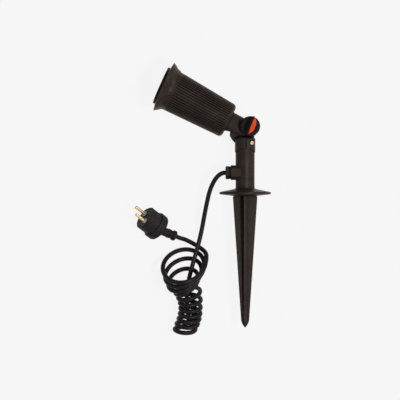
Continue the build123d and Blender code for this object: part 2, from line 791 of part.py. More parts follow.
with BuildPart() as housing:
    for end_x in (rear_x - 4.0, rib_end_x):
        with BuildSketch(head_plane(end_x)):
            with BuildLine():
                Polyline(*rib_outline(body_radius(end_x)), close=True)
            make_face()
    loft(ruled=True)
    with BuildSketch(head_plan):
        with BuildLine():
            band_end = flare_root_x + 3.0
            Polyline(
                (rib_end_x, 0),
                (rib_end_x, body_radius(rib_end_x)),
                (band_end, body_radius(band_end)),
                (band_end, 0),
                close=True,
            )
        make_face()
    revolve(axis=head_axis)
    with BuildSketch(rear_plan):
        with BuildLine():
            corner = body_rear_radius + 0.6
            inner = corner - rear_corner
            arc_rise = rear_corner * 0.29
            Polyline((head_length, 0), (0, 0), (0, inner))
            ThreePointArc((0, inner), (arc_rise, corner - arc_rise), (rear_corner, corner))
            Polyline((rear_corner, corner), (rear_corner * 2, corner + 2.0), (head_length, flare_radius * 1.3), (head_length, 0))
        make_face()
    revolve(axis=rear_axis, mode=Mode.INTERSECT)
    with BuildSketch(front_plan):
        with BuildLine():
            Polyline(
                (-flare_length - 3.0, 0),
                (-flare_length - 0.6, body_front_radius - 0.2),
                (-flare_length * 0.66, body_front_radius + 1.9),
                (-flare_length * 0.32, flare_radius - 2.2),
                (-flare_rim, flare_radius),
                (0, flare_radius),
                (flare_face, ring_lip_radius + 0.8),
                (flare_face, 0),
                close=True,
            )
        make_face()
    revolve(axis=front_axis)
    with BuildSketch(head_plan):
        with BuildLine():
            rear_bore = body_rear_radius - rib_depth - wall
            Polyline(
                (inner_rear_x, 0),
                (inner_rear_x, rear_bore),
                (cavity_taper_end, bore_radius),
                (rim_x - 4.0, bore_radius),
                (rim_x - 4.0, 0),
                close=True,
            )
        make_face()
    revolve(axis=head_axis, mode=Mode.SUBTRACT)
    with BuildSketch(canted_plane(rim_x, front_way, -seat_depth)):
        Circle(ring_thread_radius + turn_gap)
    extrude(amount=seat_depth + 10, mode=Mode.SUBTRACT)
    with BuildSketch(head_plane(0)):
        with Locations((0, duct_z)):
            Circle(duct_radius)
        with Locations((-elbow_screw_side, duct_z), (elbow_screw_side, duct_z)):
            Circle(elbow_screw_radius + 0.2)
    extrude(amount=inner_rear_x + 1, mode=Mode.SUBTRACT)
save(housing.part, "housing")

# ---------------------------------------------------------------- lens, gasket and ring
with BuildPart() as lens_gasket:
    with BuildSketch(canted_plane(rim_x, front_way, -seat_depth)):
        Circle(lens_radius + 0.4)
        Circle(bore_radius + 0.2, mode=Mode.SUBTRACT)
    extrude(amount=gasket_thick)
save(lens_gasket.part, "lens_gasket")

with BuildPart() as lens:
    with BuildSketch(canted_plane(rim_x, front_way, gasket_thick - seat_depth)):
        Circle(lens_radius)
    extrude(amount=lens_thick)
    chamfer(lens.edges(), 0.5)
save(lens.part, "lens")

with BuildPart() as lens_ring:
    with BuildSketch(front_plan):
        with BuildLine():
            Polyline(
                (-lens_seat, ring_opening),
                (-lens_seat, ring_thread_radius),
                (ring_proud - ring_lip, ring_thread_radius),
                (ring_proud - ring_lip, ring_lip_radius),
                (ring_proud, ring_lip_radius),
                (ring_proud, ring_opening + 1.2),
                (ring_proud - 1.6, ring_opening),
                close=True,
            )
        make_face()
    revolve(axis=front_axis)
    fillet(lens_ring.edges().filter_by(GeomType.CIRCLE).sort_by(front_axis)[-2:].sort_by(SortBy.RADIUS)[-1], 0.8)
    with BuildSketch(canted_plane(rim_x, front_way, ring_proud)):
        with PolarLocations(ring_lip_radius, ring_notches):
            Circle(ring_notch_radius)
    extrude(amount=-ring_lip, mode=Mode.SUBTRACT)
save(lens_ring.part, "lens_ring")

# ---------------------------------------------------------------- reflector lamp and its holder
lamp_front_x = rim_x - seat_depth + gasket_thick - lamp_front_gap
lamp_back_x = lamp_front_x - lamp_depth
lamp_foot_x = lamp_back_x - lamp_foot
holder_rear_x = lamp_foot_x - holder_length


def bowl(inset):
    """Half profile of the lamp's bowl, from front to back."""
    Polyline((lamp_front_x, 0), (lamp_front_x, lamp_radius - inset), (lamp_front_x - 4.0, lamp_radius - inset))
    ThreePointArc(
        (lamp_front_x - 4.0, lamp_radius - inset),
        (lamp_front_x - lamp_depth * 0.6, lamp_radius * 0.72 - inset),
        (lamp_back_x + inset, lamp_neck_radius),
    )
    Polyline((lamp_back_x + inset, lamp_neck_radius), (lamp_back_x + inset, 0), (lamp_front_x, 0))


with BuildPart() as lamp_bowl:
    with BuildSketch(head_plan):
        with BuildLine():
            bowl(0)
        make_face()
    revolve(axis=head_axis)
    with BuildSketch(head_plane(lamp_back_x)):
        Circle(lamp_neck_radius)
    extrude(amount=-lamp_foot)
    with BuildSketch(head_plan):
        with BuildLine():
            bowl(lamp_shell)
        make_face()
    revolve(axis=head_axis, mode=Mode.SUBTRACT)
save(lamp_bowl.part, "lamp_bowl")

with BuildPart() as lamp_cover:
    with BuildSketch(head_plane(lamp_front_x)):
        Circle(lamp_radius - lamp_shell - fit_gap)
    extrude(amount=-1.8)
save(lamp_cover.part, "lamp_cover")

with BuildPart() as lamp_pins:
    with BuildSketch(head_plane(lamp_foot_x)):
        with Locations((-pin_spacing / 2, 0), (pin_spacing / 2, 0)):
            Circle(1.5)
    extrude(amount=-5.0)
    with BuildSketch(head_plane(lamp_foot_x - 5.0)):
        with Locations((-pin_spacing / 2, 0), (pin_spacing / 2, 0)):
            Circle(2.5)
    extrude(amount=-2.5)
save(lamp_pins.part, "lamp_pins")

with BuildPart() as lampholder:
    with BuildSketch(head_plane(lamp_foot_x)):
        Circle(holder_radius)
    extrude(amount=-holder_length)
    chamfer(lampholder.edges(), 0.8)
    with BuildSketch(head_plane(lamp_foot_x)):
        with Locations((-pin_spacing / 2, 0), (pin_spacing / 2, 0)):
            Circle(2.5 + fit_gap)
    extrude(amount=-7.5, mode=Mode.SUBTRACT)
    with BuildSketch(head_plane(holder_rear_x)):
        with Locations((-holder_screw_side, 0), (holder_screw_side, 0)):
            Circle(1.5 + fit_gap)
        with Locations((-2.4, 0), (2.4, 0)):
            Circle(lead_radius + fit_gap)
    extrude(amount=6.0, mode=Mode.SUBTRACT)
save(lampholder.part, "lampholder")

with BuildPart() as holder_bracket:
    with BuildSketch(head_plane(inner_rear_x)):
        RectangleRounded(bracket_width, bracket_depth, 2.0)
    extrude(amount=bracket_sheet)
    with BuildSketch(head_plane(holder_rear_x)):
        RectangleRounded(bracket_width, bracket_depth, 2.0)
    extrude(amount=-bracket_sheet)
    with BuildSketch(head_plane(inner_rear_x)):
        for side in (-1, 1):
            with Locations((side * (bracket_width - bracket_sheet) / 2, 0)):
                Rectangle(bracket_sheet, bracket_depth - 4.0)
    extrude(amount=holder_rear_x - inner_rear_x)
    with BuildSketch(head_plane(inner_rear_x - 1)):
        with Locations((0, duct_z)):
            Circle(duct_radius)
        with Locations((-elbow_screw_side, duct_z), (elbow_screw_side, duct_z)):
            Circle(elbow_screw_radius + 0.2)
    extrude(amount=bracket_sheet + 2, mode=Mode.SUBTRACT)
    with BuildSketch(head_plane(holder_rear_x + 1)):
        with Locations((-holder_screw_side, 0), (holder_screw_side, 0)):
            Circle(1.7)
        SlotOverall(9.0, 4.0)
    extrude(amount=-bracket_sheet - 2, mode=Mode.SUBTRACT)
save(holder_bracket.part, "holder_bracket")

with BuildPart() as holder_screws:
    with BuildSketch(head_plane(holder_rear_x + 5.5)):
        with Locations((-holder_screw_side, 0), (holder_screw_side, 0)):
            Circle(1.5)
    extrude(amount=-5.5 - bracket_sheet)
    with BuildSketch(head_plane(holder_rear_x - bracket_sheet)):
        with Locations((-holder_screw_side, 0), (holder_screw_side, 0)):
            Circle(2.7)
    extrude(amount=-1.8)
save(holder_screws.part, "holder_screws")

with BuildPart() as elbow_screws:
    with BuildSketch(head_plane(rear_x - elbow_screw_grip + 0.5)):
        with Locations((-elbow_screw_side, duct_z), (elbow_screw_side, duct_z)):
            Circle(elbow_screw_radius)
    extrude(amount=inner_rear_x + bracket_sheet - rear_x + elbow_screw_grip - 0.5)
    with BuildSketch(head_plane(inner_rear_x + bracket_sheet)):
        with Locations((-elbow_screw_side, duct_z), (elbow_screw_side, duct_z)):
            Circle(elbow_screw_radius * 1.8)
    extrude(amount=2.2)
save(elbow_screws.part, "elbow_screws")

with BuildPart() as lamp_leads:
    for side in (-1, 1):
        lead_y = side * 2.4
        lead_start = head_point(holder_rear_x + 5.0, lead_y)
        lead_turn_a = head_point(holder_rear_x - 8.0, lead_y)
        lead_turn_b = head_point(inner_rear_x + 8.0, side * 1.9, duct_z)
        lead_stop = head_point(duct_end + 2.0, side * 1.9, duct_z)
        with BuildLine():
            FilletPolyline(lead_start, lead_turn_a, lead_turn_b, lead_stop, radius=6.0)
        with BuildSketch(Plane(origin=lead_start, z_dir=-ahead)):
            Circle(lead_radius)
        sweep()
save(lamp_leads.part, "lamp_leads")

# ---------------------------------------------------------------- cord
cord_r = cord_d / 2
nut_point = Vector(post_x - nut_face, gland_y, lamp_z)


def smooth(value, start, end):
    """0 before start, 1 after end, and an even swing between them."""
    share = min(max((value - start) / (end - start), 0), 1)
    return share * share * (3 - 2 * share)


def swing(first, second, share):
    return first + (second - first) * share


def coil_point(turn):
    """Centre of the cord at a turn of the coil: an upright stack that opens into wide loops on the table."""
    loose = smooth(turn, loosen_start, loosen_end)
    beyond = turn - loop_turn
    loose_radius = loop_radius + loop_grow * beyond
    radius = stack_radius + stack_grow * smooth(turn, grow_start, grow_end)
    rest_radius = swing(radius, loose_radius, loose)
    middle_y = stack_y + stack_pitch * turn + stack_spread * max(turn - spread_turn, 0) ** 2
    if turn < entry_turn:
        radius = radius - entry_pull * (turn - entry_turn) ** 2
    if turn < entry_lift_turn:
        middle_y = middle_y - entry_lift * (turn - entry_lift_turn) ** 3
    radius = swing(radius, loose_radius, loose)
    bow = stack_bow * (min(max(turn, 0), loop_turn) - bow_turn) ** 2
    middle_x = swing(stack_x - bow, loop_x, loose)
    middle_y = swing(middle_y, loop_y + loop_pitch * beyond, loose)
    lean = radians(swing(stack_lean, loop_lean + loop_lean_grow * beyond, loose))
    stack_fan = stack_fan_grow * max(turn - stack_fan_turn, 0) ** 2 - stack_fan_start
    loop_fan = loop_fan_start - loop_fan_drop * smooth(turn, fan_drop_start, fan_drop_end)
    fan = radians(swing(stack_fan, loop_fan, loose))
    side = 1 - loop_squash * loose - loop_squash_grow * max(beyond, 0) ** 2
    middle = Vector(middle_x, middle_y, cord_r + rest_gap + rest_radius * cos(lean))
    towards = Vector(0, -sin(lean), cos(lean)) * cos(2 * pi * turn)
    across = Vector(cos(fan), sin(fan), 0) * (side * sin(2 * pi * turn))
    return middle + (towards + across) * radius


def coil_way(turn):
    """Direction of the cord at a turn of the coil."""
    return (coil_point(turn + 0.001) - coil_point(turn - 0.001)).normalized()


def biarc_joint(start, start_way, end, end_way):
    """Where two arcs meet that leave start and reach end in the given directions."""
    chord = end - start
    ways = start_way + end_way
    square = 2 * (1 - start_way.dot(end_way))
    half = chord.dot(ways)
    reach = (sqrt(half * half + square * chord.dot(chord)) - half) / square
    return (start + end + (start_way - end_way) * reach) / 2


def bend_radii(points):
    """A bend radius for each inner corner: bends share a run evenly, and an end run has one bend only."""
    last = len(points) - 2
    radii = []
    for place in range(1, last + 1):
        run_in = points[place] - points[place - 1]
        run_out = points[place + 1] - points[place]
        room_in = run_in.length * (0.88 if place == 1 else 0.45)
        room_out = run_out.length * (0.88 if place == last else 0.45)
        turn_angle = radians(run_in.get_angle(run_out))
        radii.append(min(min(room_in, room_out) / tan(turn_angle / 2), 12 * cord_d))
    return radii


def print_bends(title, points, radii):
    runs = [round((after - before).length, 1) for before, after in zip(points, points[1:])]
    print(title, "runs", runs, "bend radii", [round(radius, 1) for radius in radii])


coil_first = coil_point(coil_start)
coil_first_way = coil_way(coil_start)
coil_last = coil_point(coil_end)
coil_last_way = coil_way(coil_end)
boot_back = Vector(
    cos(radians(boot_pitch)) * cos(radians(boot_heading)),
    cos(radians(boot_pitch)) * sin(radians(boot_heading)),
    sin(radians(boot_pitch)),
)
boot_foot = Vector(boot_x, boot_y, boot_z)

lead_route = [nut_point, nut_point - Vector(exit_run, 0, 0)]
lead_route += [Vector(*point) for point in lead_points]
lead_route += [coil_first - coil_first_way * coil_in_run, coil_first]
lead_radii = bend_radii(lead_route)
print_bends("cord_lead", lead_route, lead_radii)
with BuildPart() as cord_lead:
    with BuildLine():
        FilletPolyline(*lead_route, radius=lead_radii)
    with BuildSketch(Plane(origin=nut_point, z_dir=(-1, 0, 0))):
        Circle(cord_r)
    sweep()
save(cord_lead.part, "cord_lead")

with BuildPart() as cord_coil:
    with BuildLine():
        for step in range(coil_steps):
            turn_a = coil_start + (coil_end - coil_start) * step / coil_steps
            turn_b = coil_start + (coil_end - coil_start) * (step + 1) / coil_steps
            point_a = coil_point(turn_a)
            point_b = coil_point(turn_b)
            way_a = coil_way(turn_a)
            joint = biarc_joint(point_a, way_a, point_b, coil_way(turn_b))
            first_arc = TangentArc(point_a, joint, tangent=way_a)
            TangentArc(joint, point_b, tangent=first_arc % 1)
    with BuildSketch(Plane(origin=coil_first, z_dir=coil_first_way)):
        Circle(cord_r)
    sweep()
save(cord_coil.part, "cord_coil")

tail_route = [coil_last, coil_last + coil_last_way * coil_out_run]
tail_route += [Vector(*point) for point in tail_points]
tail_route += [boot_foot - boot_back * boot_run, boot_foot]
tail_radii = bend_radii(tail_route)
print_bends("cord_tail", tail_route, tail_radii)
with BuildPart() as cord_tail:
    with BuildLine():
        FilletPolyline(*tail_route, radius=tail_radii)
    with BuildSketch(Plane(origin=coil_last, z_dir=coil_last_way)):
        Circle(cord_r)
    sweep()
save(cord_tail.part, "cord_tail")

# Least distance of the coil to itself, taken between points more than half a turn apart.
coil_marks = [coil_start + step / 60 for step in range(ceil((coil_end - coil_start) * 60))]
coil_dots = [coil_point(turn) for turn in coil_marks]
coil_gap = min(
    (coil_dots[first] - coil_dots[second]).length
    for first in range(len(coil_dots))
    for second in range(first + 30, len(coil_dots))
)
print("least gap of the coil to itself", round(coil_gap - cord_d, 2))
section = pi * cord_r ** 2
for title, piece in (("lead", cord_lead), ("coil", cord_coil), ("tail", cord_tail)):
    print("cord", title, "length", round(piece.part.volume / section, 1))

# ---------------------------------------------------------------- plug
plug_way = Vector(
    cos(radians(plug_pitch)) * cos(radians(plug_heading)),
    cos(radians(plug_pitch)) * sin(radians(plug_heading)),
    sin(radians(plug_pitch)),
)
plug_level = Vector(-sin(radians(plug_heading)), cos(radians(plug_heading)), 0)
plug_over = plug_way.cross(plug_level)
pin_way = plug_level * cos(radians(plug_turn)) + plug_over * sin(radians(plug_turn))
collar_back = plug_length + plug_collar_length
rim_centre = collar_back - plug_collar_round
plug_face_z = (
    rim_centre * sin(radians(plug_pitch))
    + (plug_collar_radius - plug_collar_round) * cos(radians(plug_pitch))
    + plug_collar_round
)
plug_face = Vector(plug_face_x, plug_face_y, plug_face_z)


def plug_plane(back):
    """Plane square to the plug's axis, back from its face; local x runs along the pair of pins."""
    return Plane(origin=plug_face - plug_way * back, x_dir=pin_way, z_dir=plug_way)


boot_plan = Plane(origin=boot_foot, x_dir=boot_back, z_dir=boot_back.cross(Vector(0, 0, 1)).normalized())
boot_axis = Axis(boot_foot, boot_back)
boot_meet = plug_face - plug_way * (collar_back - 3.0)
boot_span = (boot_meet - boot_foot).dot(boot_back)
pin_spots = ((-pin_pitch / 2, 0), (pin_pitch / 2, 0))

with BuildPart() as plug_body:
    with BuildSketch(plug_plane(plug_length)):
        Circle(plug_side_radius)
        with BuildSketch(mode=Mode.ADD) as lands:
            Circle(plug_radius)
            Rectangle(plug_radius * 2, plug_land, mode=Mode.INTERSECT)
    extrude(amount=plug_length)
    chamfer(plug_body.edges().filter_by(GeomType.CIRCLE).sort_by(Axis(plug_face, plug_way))[-4:], 0.8)
    with BuildSketch(plug_plane(collar_back)):
        Circle(plug_collar_radius)
    extrude(amount=plug_collar_length)
    rims = plug_body.edges().filter_by(lambda edge: edge.geom_type == GeomType.CIRCLE and edge.radius > plug_collar_radius - 0.1)
    fillet(rims.sort_by(Axis(plug_face, plug_way))[0], plug_collar_round)
    fillet(rims.sort_by(Axis(plug_face, plug_way))[-1], plug_collar_edge)
    with BuildSketch(plug_plane(0)):
        with Locations(*pin_spots):
            Circle(pin_stem_radius + fit_gap)
    extrude(amount=-pin_depth, mode=Mode.SUBTRACT)
    with BuildSketch(plug_plane(plug_length)):
        with Locations((0, plug_side_radius), (0, -plug_side_radius)):
            Rectangle(clip_groove_width, clip_groove_depth * 2)
    extrude(amount=plug_length, mode=Mode.SUBTRACT)
save(plug_body.part, "plug_body")

with BuildPart() as plug_pins:
    with BuildSketch(plug_plane(pin_depth)):
        with Locations(*pin_spots):
            Circle(pin_stem_radius)
    extrude(amount=pin_depth + sleeve_height + turn_gap)
    with BuildSketch(plug_plane(-sleeve_height - turn_gap)):
        with Locations(*pin_spots):
            Circle(pin_radius)
    extrude(amount=pin_length - sleeve_height - turn_gap)
    tips = plug_pins.edges().filter_by(GeomType.CIRCLE).group_by(Axis(plug_face, plug_way))[-1]
    fillet(tips, 1.4)
save(plug_pins.part, "plug_pins")

with BuildPart() as pin_sleeves:
    with BuildSketch(plug_plane(0)):
        with Locations(*pin_spots):
            Circle(sleeve_radius)
            Circle(pin_stem_radius + fit_gap, mode=Mode.SUBTRACT)
    extrude(amount=sleeve_height)
save(pin_sleeves.part, "plug_pin_sleeves")

with BuildPart() as plug_boot:
    with BuildSketch(boot_plan):
        with BuildLine():
            rib_run = (boot_span - boot_ring_length) / (boot_ribs + 1) * 0.5
            edge = [(0, 0), (0, boot_ring_radius - 0.8), (0.8, boot_ring_radius)]
            edge += [(boot_ring_length - 0.8, boot_ring_radius), (boot_ring_length, boot_ring_radius - 0.8)]
            for rib in range(boot_ribs):
                rib_x = boot_ring_length + rib * rib_run
                rib_top = swing(boot_small_radius, boot_big_radius, (rib + 1) / (boot_ribs + 2)) + 0.9
                edge += [(rib_x + 0.3, rib_top - 0.9), (rib_x + rib_run * 0.35, rib_top)]
                edge += [(rib_x + rib_run * 0.65, rib_top), (rib_x + rib_run - 0.3, rib_top - 0.8)]
            edge += [(boot_span, boot_big_radius), (boot_span, 0)]
            Polyline(*edge, close=True)
        make_face()
    revolve(axis=boot_axis)
    add(plug_body.part, mode=Mode.SUBTRACT)
save(plug_boot.part, "plug_boot")

# ---------------------------------------------------------------- footprint of the lamp without its cord
lamp_parts = [spike, flange, post, gland_body, gland_nut, collar, elbow, housing, lens_ring, knob]
lamp_box = Compound(children=[piece.part for piece in lamp_parts]).bounding_box()
print("lamp from", lamp_box.min, "to", lamp_box.max, "centre", lamp_box.center())
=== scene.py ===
"""Garden spike spotlight on a pale table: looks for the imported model.

The scene is in metres, in the frame of the solids: +Y along the post to the head, +Z up from the table.
The cord's own numbers are in millimetres, turns and degrees.
"""

from math import cos, pi, radians, sin

import bpy
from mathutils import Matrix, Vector


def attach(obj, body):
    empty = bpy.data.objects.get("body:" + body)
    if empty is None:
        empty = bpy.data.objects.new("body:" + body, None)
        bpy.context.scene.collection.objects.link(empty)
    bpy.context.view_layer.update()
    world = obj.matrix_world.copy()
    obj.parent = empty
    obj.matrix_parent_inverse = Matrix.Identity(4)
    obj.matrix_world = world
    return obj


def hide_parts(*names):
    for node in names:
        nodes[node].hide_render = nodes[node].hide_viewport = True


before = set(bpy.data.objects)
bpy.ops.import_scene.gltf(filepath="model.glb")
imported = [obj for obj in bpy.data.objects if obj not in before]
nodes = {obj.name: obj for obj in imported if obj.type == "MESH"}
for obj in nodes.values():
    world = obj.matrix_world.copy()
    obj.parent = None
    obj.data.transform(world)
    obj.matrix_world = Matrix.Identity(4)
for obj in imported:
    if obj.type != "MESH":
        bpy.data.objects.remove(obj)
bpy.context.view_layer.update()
MM = 0.001

# ------------------------------------------------------------------ camera
LAMP_Z = 38.7 * MM          # height of the post's axis over the table
LENS = 200.0
SENSOR = 36.0
FIELD = 600 * MM            # width of the view at the height of the post's axis
VIEW_X = -17.78 * MM
VIEW_Y = -7.01 * MM
CLIP_END = 20

camera_data = bpy.data.cameras.new("camera")
camera_data.lens = LENS
camera_data.sensor_width = SENSOR
camera_data.clip_end = CLIP_END
camera = bpy.data.objects.new("camera", camera_data)
camera.location = (VIEW_X, VIEW_Y, LAMP_Z + FIELD * LENS / SENSOR)
bpy.context.collection.objects.link(camera)
bpy.context.scene.camera = camera
bpy.context.scene.view_settings.view_transform = "Standard"

# ------------------------------------------------------------------ cord
CORD_D = 6.8
CORD_R = CORD_D / 2
NUT = Vector((20.37, 33.97, 38.7))
EXIT_RUN = 8.7              # straight run out of the gland's nut
LEAD_POINTS = (
    (-1.93, 13.39, 33.0),
    (-9.23, -19.01, 24.0),
    (-17.13, -64.01, 17.4),
    (-31.23, -112.01, 17.4),
    (-37.23, -139.01, 18.0),
    (-38.13, -164.51, 18.5),
)
TAIL_POINTS = (
    (-18.33, -78.41, 6.4),
    (-38.73, -67.11, 3.45),
)
COIL_IN_RUN = 14.0          # straight runs where the cord joins the coil
COIL_OUT_RUN = 14.0
BOOT_RUN = 10.0             # straight run into the plug's boot
BOOT = Vector((-55.53, -61.61, 7.9))
BOOT_HEADING = radians(157.2)
BOOT_PITCH = radians(25.0)

COIL_START = -0.48          # first and last turn of the coil
COIL_END = 10.25
POINTS_PER_TURN = 16
WAY_STEP = 0.001            # part of a turn to each side that gives the cord's direction
REST_GAP = 0.05             # between the turns and the table
LOOSEN_START = 6.5          # the stack opens into the wide loops between these turns
LOOSEN_END = 7.7

STACK_RADIUS = 15.6
STACK_GROW = 2.9            # the stack's radius grows by this much between the two turns below
GROW_START = 4.0
GROW_END = 7.2
STACK_LEAN = 19.5           # degrees that a turn leans back from upright
STACK_X = -32.13            # middle of the stack where it bows out most, at BOW_TURN
STACK_BOW = 0.54
BOW_TURN = 4.0
STACK_Y = -201.71           # middle of turn 0
STACK_PITCH = 7.8
STACK_SPREAD = 0.375        # the turns lie further and further apart after SPREAD_TURN
SPREAD_TURN = 2.5
STACK_FAN_START = 8.0       # degrees that the stack's turns fan out, seen from the camera
STACK_FAN_GROW = 1.75
STACK_FAN_TURN = 3.0
ENTRY_PULL = 150            # before ENTRY_TURN the cord comes in from inside the stack
ENTRY_TURN = -0.25
ENTRY_LIFT = 900            # and before ENTRY_LIFT_TURN from higher up the stack
ENTRY_LIFT_TURN = -0.3

LOOP_TURN = 8.0             # first wide loop
LOOP_RADIUS = 29.7
LOOP_GROW = 5.0
LOOP_LEAN = 42.0
LOOP_LEAN_GROW = 1.4
LOOP_X = -41.73
LOOP_Y = -122.51
LOOP_PITCH = 10.05
LOOP_FAN_START = 20.0       # the loops' fan drops between the two turns below
LOOP_FAN_DROP = 15.0
FAN_DROP_START = 7.0
FAN_DROP_END = 10.6
LOOP_SQUASH = 0.1           # share by which the loops are narrower than they are high
LOOP_SQUASH_GROW = 0.015


def smooth(value, start, end):
    """0 before start, 1 after end, and an even swing between them."""
    share = min(max((value - start) / (end - start), 0), 1)
    return share * share * (3 - 2 * share)


def swing(first, second, share):
    return first + (second - first) * share


def coil_point(turn):
    """Centre of the cord at a turn of the coil: an upright stack that opens into wide loops."""
    loose = smooth(turn, LOOSEN_START, LOOSEN_END)
    beyond = turn - LOOP_TURN
    loop_radius = LOOP_RADIUS + LOOP_GROW * beyond
    radius = STACK_RADIUS + STACK_GROW * smooth(turn, GROW_START, GROW_END)
    rest_radius = swing(radius, loop_radius, loose)
    middle_y = STACK_Y + STACK_PITCH * turn + STACK_SPREAD * max(turn - SPREAD_TURN, 0) ** 2
    if turn < ENTRY_TURN:
        radius = radius - ENTRY_PULL * (turn - ENTRY_TURN) ** 2
    if turn < ENTRY_LIFT_TURN:
        middle_y = middle_y - ENTRY_LIFT * (turn - ENTRY_LIFT_TURN) ** 3
    radius = swing(radius, loop_radius, loose)
    bow = STACK_BOW * (min(max(turn, 0), LOOP_TURN) - BOW_TURN) ** 2
    middle_x = swing(STACK_X - bow, LOOP_X, loose)
    middle_y = swing(middle_y, LOOP_Y + LOOP_PITCH * beyond, loose)
    lean = radians(swing(STACK_LEAN, LOOP_LEAN + LOOP_LEAN_GROW * beyond, loose))
    stack_fan = STACK_FAN_GROW * max(turn - STACK_FAN_TURN, 0) ** 2 - STACK_FAN_START
    loop_fan = LOOP_FAN_START - LOOP_FAN_DROP * smooth(turn, FAN_DROP_START, FAN_DROP_END)
    fan = radians(swing(stack_fan, loop_fan, loose))
    side = 1 - LOOP_SQUASH * loose - LOOP_SQUASH_GROW * max(beyond, 0) ** 2
    middle = Vector((middle_x, middle_y, CORD_R + REST_GAP + rest_radius * cos(lean)))
    towards = Vector((0, -sin(lean), cos(lean))) * cos(2 * pi * turn)
    across = Vector((cos(fan), sin(fan), 0)) * (side * sin(2 * pi * turn))
    return middle + (towards + across) * radius


def coil_way(turn):
    """Direction of the cord at a turn of the coil."""
    return (coil_point(turn + WAY_STEP) - coil_point(turn - WAY_STEP)).normalized()


def cord_route():
    """Control points of the cord, from the gland to the plug's boot."""
    boot_back = Vector((
        cos(BOOT_PITCH) * cos(BOOT_HEADING),
        cos(BOOT_PITCH) * sin(BOOT_HEADING),
        sin(BOOT_PITCH),
    ))
    points = [NUT, NUT - Vector((EXIT_RUN, 0, 0))]
    points += [Vector(point) for point in LEAD_POINTS]
    points.append(coil_point(COIL_START) - coil_way(COIL_START) * COIL_IN_RUN)
    count = int((COIL_END - COIL_START) * POINTS_PER_TURN)
    for place in range(count + 1):
        points.append(coil_point(COIL_START + (COIL_END - COIL_START) * place / count))
    points.append(coil_point(COIL_END) + coil_way(COIL_END) * COIL_OUT_RUN)
    points += [Vector(point) for point in TAIL_POINTS]
    points += [BOOT - boot_back * BOOT_RUN, BOOT]
    return points


route = cord_route()
cord_data = bpy.data.curves.new("cord", "CURVE")
cord_data.dimensions = "3D"
cord_data.resolution_u = 6
cord_data.bevel_depth = 1.0  # so that each point's radius is the cord's own
cord_data.bevel_resolution = 7
cord_data.use_fill_caps = True
spline = cord_data.splines.new("NURBS")
spline.points.add(len(route) - 1)
for spot, point in zip(spline.points, route):
    spot.co = (*(point * MM), 1)
    spot.radius = CORD_R * MM
spline.order_u = 3
spline.use_endpoint_u = True
cord = bpy.data.objects.new("cord", cord_data)
bpy.context.collection.objects.link(cord)
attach(cord, "base")
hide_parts("cord_lead", "cord_coil", "cord_tail")


# ------------------------------------------------------------------ materials
EDGE = 0.0005               # metres: radius that larger pieces' edges seem to have
FINE_EDGE = 0.0003
GRAIN_DEPTH = 0.00004
SCRATCH_DEPTH = 0.00001
GLINT = (1.0, 0.88, 0.81)   # tint of the plastics' gloss
MOTTLE = (0.32, 0.68)       # parts of a noise's range over which colour or roughness changes
TARNISH = (0.35, 0.7)
SMEARS = (0.3, 0.7)
HAZE = (0.35, 0.75)
GROOVE_SHADE_SPAN = (0.45, 0.95)   # openness at which the painted groove shade is full, and gone
BEVEL_SAMPLES = 6
OPENNESS_SAMPLES = 8


def new_material(name):
    material = bpy.data.materials.new(name)
    material.use_nodes = True
    tree = material.node_tree
    shader = tree.nodes["Principled BSDF"]
    return material, tree, shader


def noise(tree, scale, detail=4.0, rough=0.55, stretch=None):
    """Noise over the object's own metres, optionally stretched along its axes."""
    place = tree.nodes.new("ShaderNodeTexCoord").outputs["Object"]
    if stretch:
        mapping = tree.nodes.new("ShaderNodeMapping")
        mapping.inputs["Scale"].default_value = stretch
        tree.links.new(place, mapping.inputs["Vector"])
        place = mapping.outputs["Vector"]
    texture = tree.nodes.new("ShaderNodeTexNoise")
    texture.inputs["Scale"].default_value = scale
    texture.inputs["Detail"].default_value = detail
    texture.inputs["Roughness"].default_value = rough
    tree.links.new(place, texture.inputs["Vector"])
    return texture.outputs["Fac"]


def spread(tree, value, low, high, start, end):
    """Map a value from start..end to low..high."""
    ramp = tree.nodes.new("ShaderNodeMapRange")
    ramp.inputs["From Min"].default_value = start
    ramp.inputs["From Max"].default_value = end
    ramp.inputs["To Min"].default_value = low
    ramp.inputs["To Max"].default_value = high
    tree.links.new(value, ramp.inputs["Value"])
    return ramp.outputs["Result"]


def blend_colours(tree, share, first, second):
    """Colour that goes from first to second as share goes from 0 to 1; each is a tuple or a socket."""
    mix = tree.nodes.new("ShaderNodeMix")
    mix.data_type = "RGBA"
    for place, colour in ((6, first), (7, second)):
        if isinstance(colour, tuple):
            mix.inputs[place].default_value = (*colour, 1)
        else:
            tree.links.new(colour, mix.inputs[place])
    tree.links.new(share, mix.inputs[0])
    return mix.outputs[2]


def rounded_normal(tree, radius):
    bevel = tree.nodes.new("ShaderNodeBevel")
    bevel.samples = BEVEL_SAMPLES
    bevel.inputs["Radius"].default_value = radius
    return bevel.outputs["Normal"]


def openness(tree, reach):
    """1 on crests and open faces, falling towards 0 deep in grooves and corners: the mask for the
    painted shade of moulded materials.
    """
    hidden = tree.nodes.new("ShaderNodeAmbientOcclusion")
    hidden.samples = OPENNESS_SAMPLES
    hidden.inputs["Distance"].default_value = reach
    return hidden.outputs["AO"]


def bump(tree, height, distance, normal=None):
    node = tree.nodes.new("ShaderNodeBump")
    node.inputs["Distance"].default_value = distance
    tree.links.new(height, node.inputs["Height"])
    if normal:
        tree.links.new(normal, node.inputs["Normal"])
    return node.outputs["Normal"]


